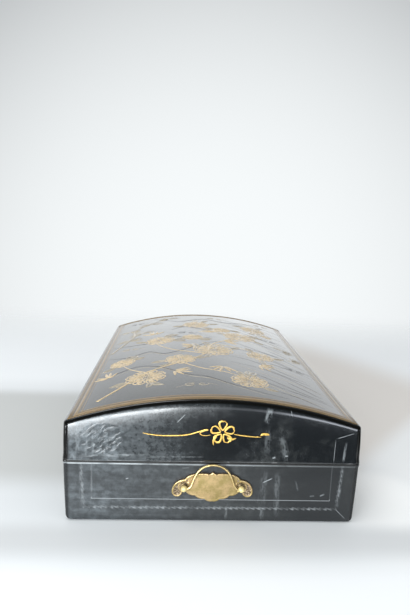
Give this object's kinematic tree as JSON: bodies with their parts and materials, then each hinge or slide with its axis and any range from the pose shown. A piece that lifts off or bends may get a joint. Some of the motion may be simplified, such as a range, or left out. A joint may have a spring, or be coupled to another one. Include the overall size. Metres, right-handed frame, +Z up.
{
  "type": "lacquer box",
  "caption": "Low rectangular black lacquered wooden box with an arched hinged lid, brass bail handles on both ends and a hasp lock",
  "frame": {"origin": "centre of the flat underside of the box, on the surface it stands on", "axes": "+Z up, X across the width with the hinges on +X and the lock on -X, Y along the length with a bail handle on each end"},
  "size_m": [0.2558, 0.3738, 0.1055],
  "materials": {
    "black_lacquer": "semi-gloss black lacquer, worn and dusty at the edges",
    "rim_lacquer": "satin dark red lacquer",
    "gold_ornament": "gold powder on raised lacquer, rubbed in places",
    "plate_brass": "dull aged sheet brass",
    "wire_brass": "rubbed bright brass wire"
  },
  "bodies": {
    "base": {"base_back_wall": "black_lacquer", "base_bottom_board": "black_lacquer", "base_far_wall": "black_lacquer", "base_front_wall": "black_lacquer", "base_near_wall": "black_lacquer", "far_handle_plate": "plate_brass", "far_handle_post_left": "wire_brass", "far_handle_post_right": "wire_brass", "far_handle_washer_left": "plate_brass", "far_handle_washer_right": "plate_brass", "hinge_far_base_leaf": "plate_brass", "hinge_far_base_nail_1": "wire_brass", "hinge_far_base_nail_2": "wire_brass", "hinge_far_pin": "wire_brass", "hinge_near_base_leaf": "plate_brass", "hinge_near_base_nail_1": "wire_brass", "hinge_near_base_nail_2": "wire_brass", "hinge_near_pin": "wire_brass", "lock_base_nail_1": "wire_brass", "lock_base_nail_2": "wire_brass", "lock_base_plate": "plate_brass", "lock_staple_1": "wire_brass", "lock_staple_2": "wire_brass", "near_handle_plate": "plate_brass", "near_handle_post_left": "wire_brass", "near_handle_post_right": "wire_brass", "near_handle_washer_left": "plate_brass", "near_handle_washer_right": "plate_brass", "rim_strip_back": "rim_lacquer", "rim_strip_far": "rim_lacquer", "rim_strip_front": "rim_lacquer", "rim_strip_near": "rim_lacquer"},
    "lid": {"hasp_pin": "wire_brass", "hinge_far_lid_leaf": "plate_brass", "hinge_far_lid_nail_1": "wire_brass", "hinge_far_lid_nail_2": "wire_brass", "hinge_near_lid_leaf": "plate_brass", "hinge_near_lid_nail_1": "wire_brass", "hinge_near_lid_nail_2": "wire_brass", "lid_back_rail": "black_lacquer", "lid_far_gable": "black_lacquer", "lid_front_rail": "black_lacquer", "lid_near_gable": "black_lacquer", "lid_top_board": "black_lacquer", "lock_lid_nail_1": "wire_brass", "lock_lid_nail_2": "wire_brass", "lock_lid_plate": "plate_brass"},
    "near_bail": {"near_handle_bail": "wire_brass"},
    "far_bail": {"far_handle_bail": "wire_brass"},
    "hasp": {"hasp": "plate_brass"}
  },
  "joints": [
    {"name": "lid_hinge", "type": "hinge", "parent": "base", "child": "lid", "pos_m": [0.1223, 0, 0.05215], "axis": [0, 1, 0], "range_deg": [0, 105]},
    {"name": "near_bail_swing", "type": "hinge", "parent": "base", "child": "near_bail", "pos_m": [0, -0.1843, 0.0323], "axis": [1, 0, 0], "range_deg": [0, 165]},
    {"name": "far_bail_swing", "type": "hinge", "parent": "base", "child": "far_bail", "pos_m": [0, 0.1843, 0.0323], "axis": [-1, 0, 0], "range_deg": [0, 165]},
    {"name": "hasp_swing", "type": "hinge", "parent": "lid", "child": "hasp", "pos_m": [-0.1233, 0, 0.0663], "axis": [0, 1, 0], "range_deg": [0, 120]}
  ]
}
